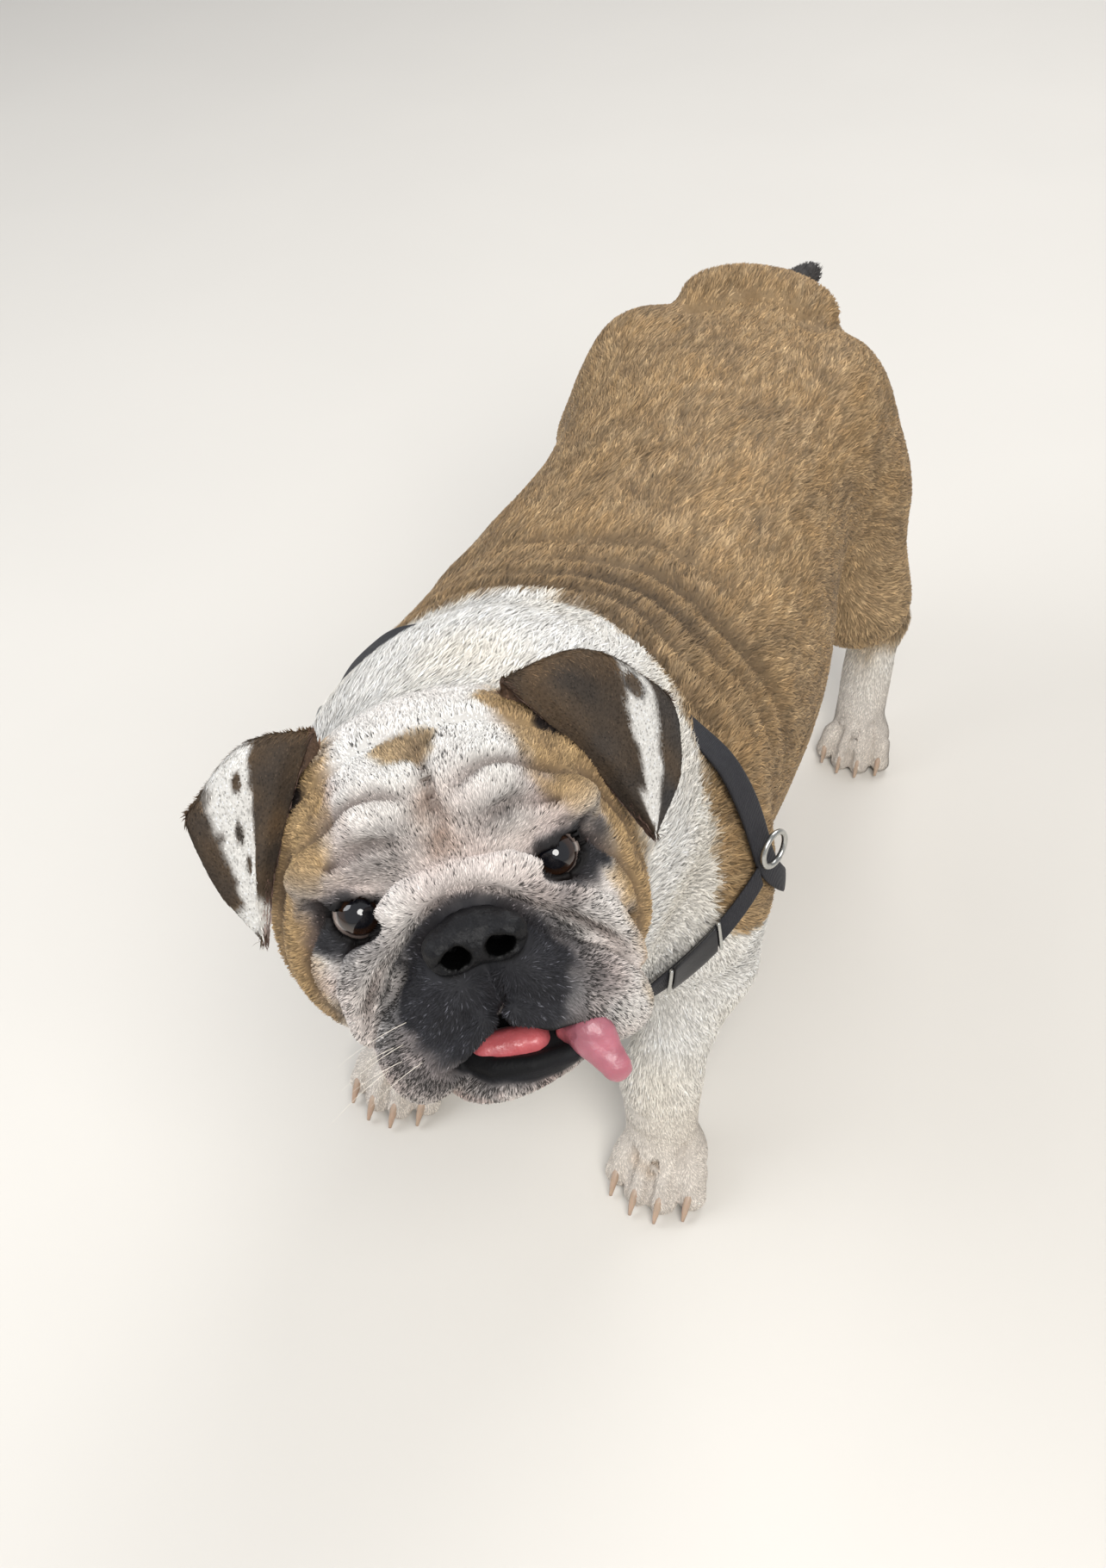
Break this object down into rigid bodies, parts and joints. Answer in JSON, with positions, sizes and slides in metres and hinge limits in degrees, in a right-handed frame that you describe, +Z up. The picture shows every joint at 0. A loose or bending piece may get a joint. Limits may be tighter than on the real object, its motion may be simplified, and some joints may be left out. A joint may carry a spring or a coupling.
{
  "type": "english bulldog",
  "caption": "Life-size standing English bulldog with its head lifted, turned and tilted, folded ears, open mouth with tongue showing, and a plain walking harness.",
  "frame": {"origin": "on the floor, under the middle of the model's bounding box", "axes": "+Z up; the dog faces -Y with its left side toward +X"},
  "size_m": [0.3112, 0.7742, 0.4863],
  "materials": {
    "face": "short pale coat with dark ticking",
    "nose": "damp black nose leather",
    "tongue": "wet pink",
    "eye": "wet dark brown",
    "ear": "short dark brown and white coat",
    "coat_white": "short white coat",
    "coat_fawn": "short fawn coat",
    "tail": "dark grey coat",
    "webbing": "black woven webbing",
    "metal": "plated steel wire",
    "slider": "black slider with a bright rim"
  },
  "bodies": {
    "root": {"head": "face", "nose": "nose", "lower_jaw": "face", "tongue": "tongue", "eye_left": "eye", "eye_right": "eye", "ear_left": "ear", "ear_right": "ear", "neck": "coat_white", "chest": "coat_fawn", "hindquarters": "coat_fawn", "tail": "tail", "foreleg_left": "coat_white", "forepaw_left": "coat_white", "hindleg_left": "coat_fawn", "hindpaw_left": "coat_white", "foreleg_right": "coat_white", "forepaw_right": "coat_white", "hindleg_right": "coat_fawn", "hindpaw_right": "coat_white", "harness_girth_strap": "webbing", "harness_breast_strap": "webbing", "harness_ring_left": "metal", "harness_ring_right": "metal", "harness_slider": "slider"}
  },
  "joints": []
}
